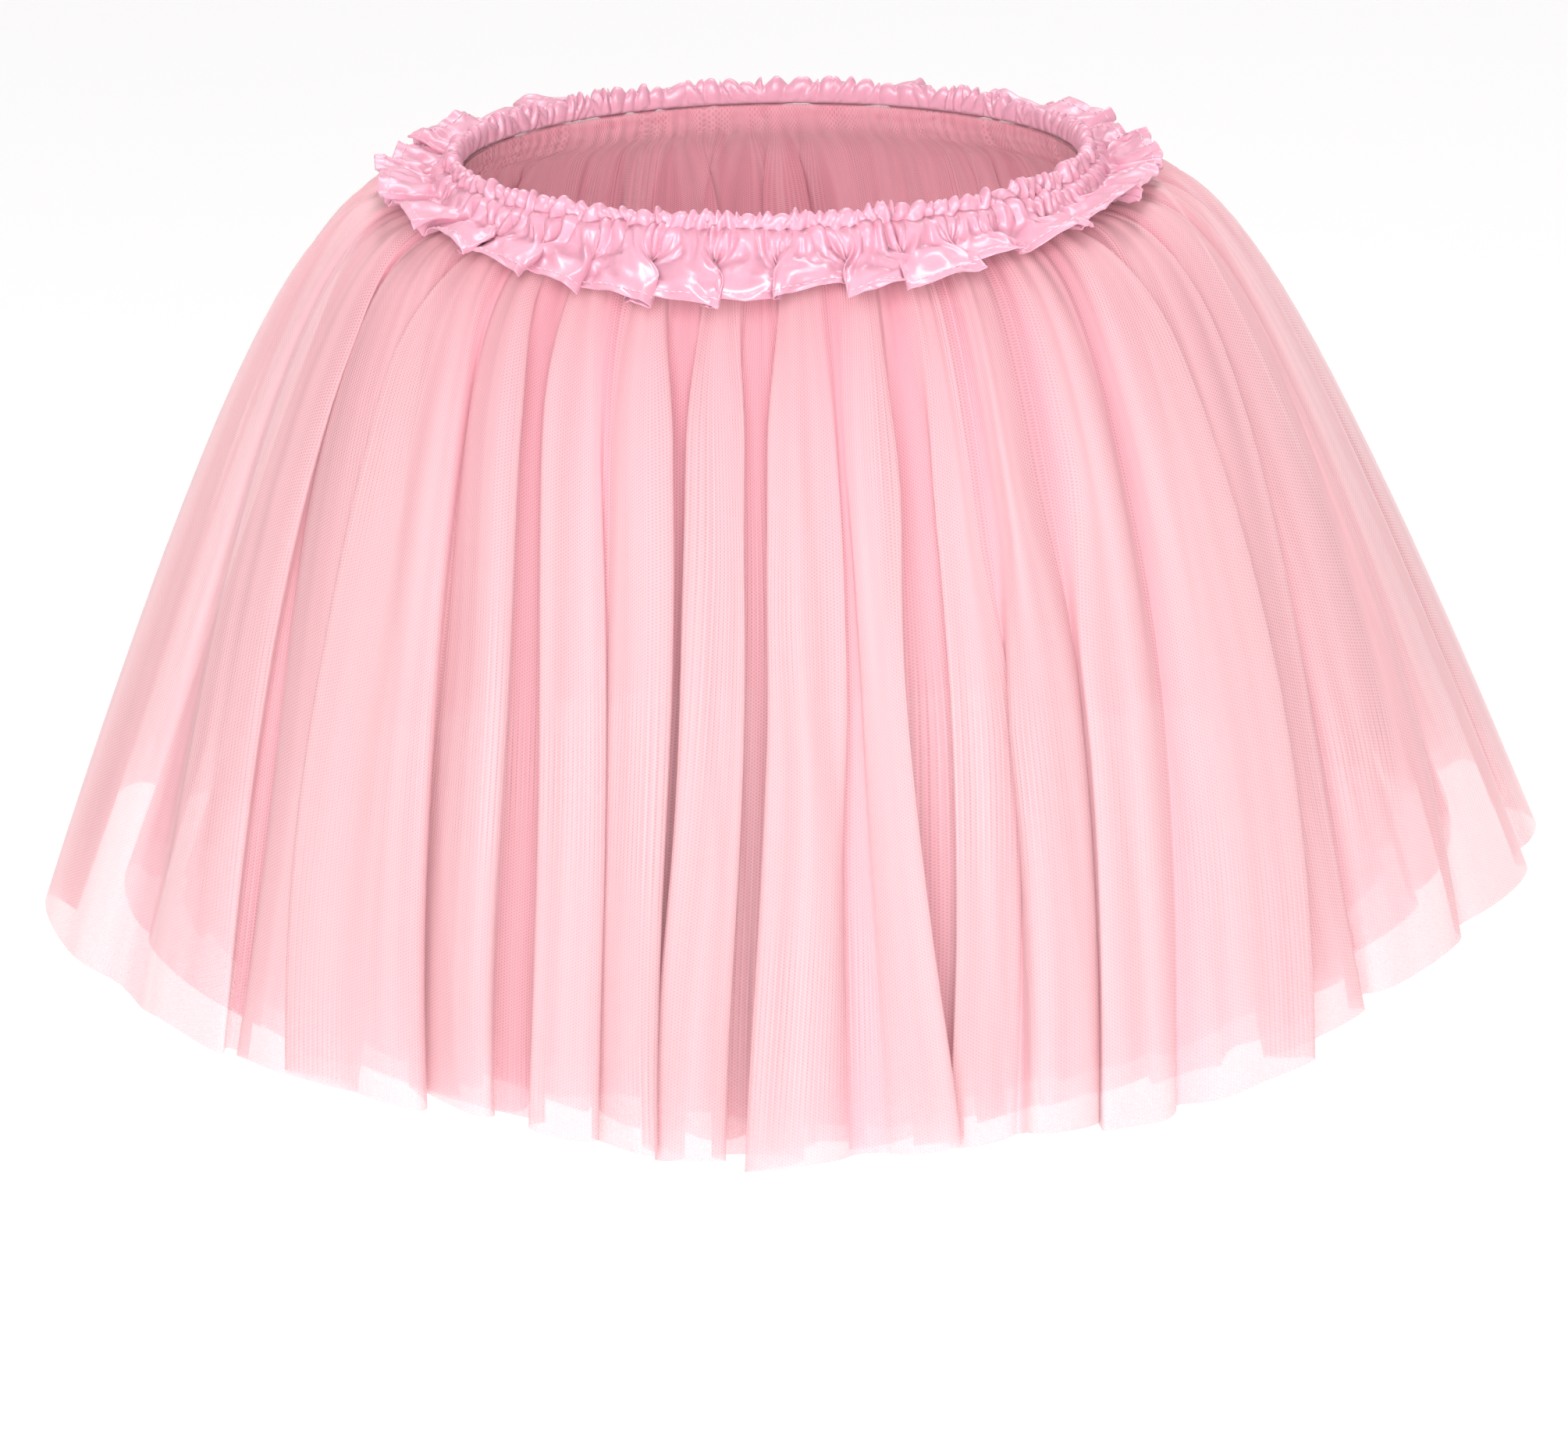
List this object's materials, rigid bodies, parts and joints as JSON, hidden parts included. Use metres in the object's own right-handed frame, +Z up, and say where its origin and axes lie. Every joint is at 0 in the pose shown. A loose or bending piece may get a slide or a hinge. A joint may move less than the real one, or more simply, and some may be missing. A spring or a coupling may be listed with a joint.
{
  "type": "tulle skirt",
  "caption": "Child's pull-on tulle skirt: sheer layers gathered under a satin casing with a ruffled frill, flaring to a raw, uneven hem",
  "frame": {"origin": "The centre of the waist, halfway up the elastic casing, on the axis of the body that the skirt is worn on", "axes": "+Z points up out of the waist, -Y to the front of the skirt and +X to the left hip of whoever wears it"},
  "size_m": [0.5205, 0.4188, 0.2934],
  "materials": {
    "satin": "pink polyester satin, smooth and glossy",
    "tulle": "soft pink net with a fine open mesh, matt and sheer"
  },
  "bodies": {
    "root": {"waist_casing": "satin", "waist_frill": "satin", "tulle_outer": "tulle", "tulle_middle": "tulle", "tulle_inner": "tulle"}
  },
  "joints": []
}
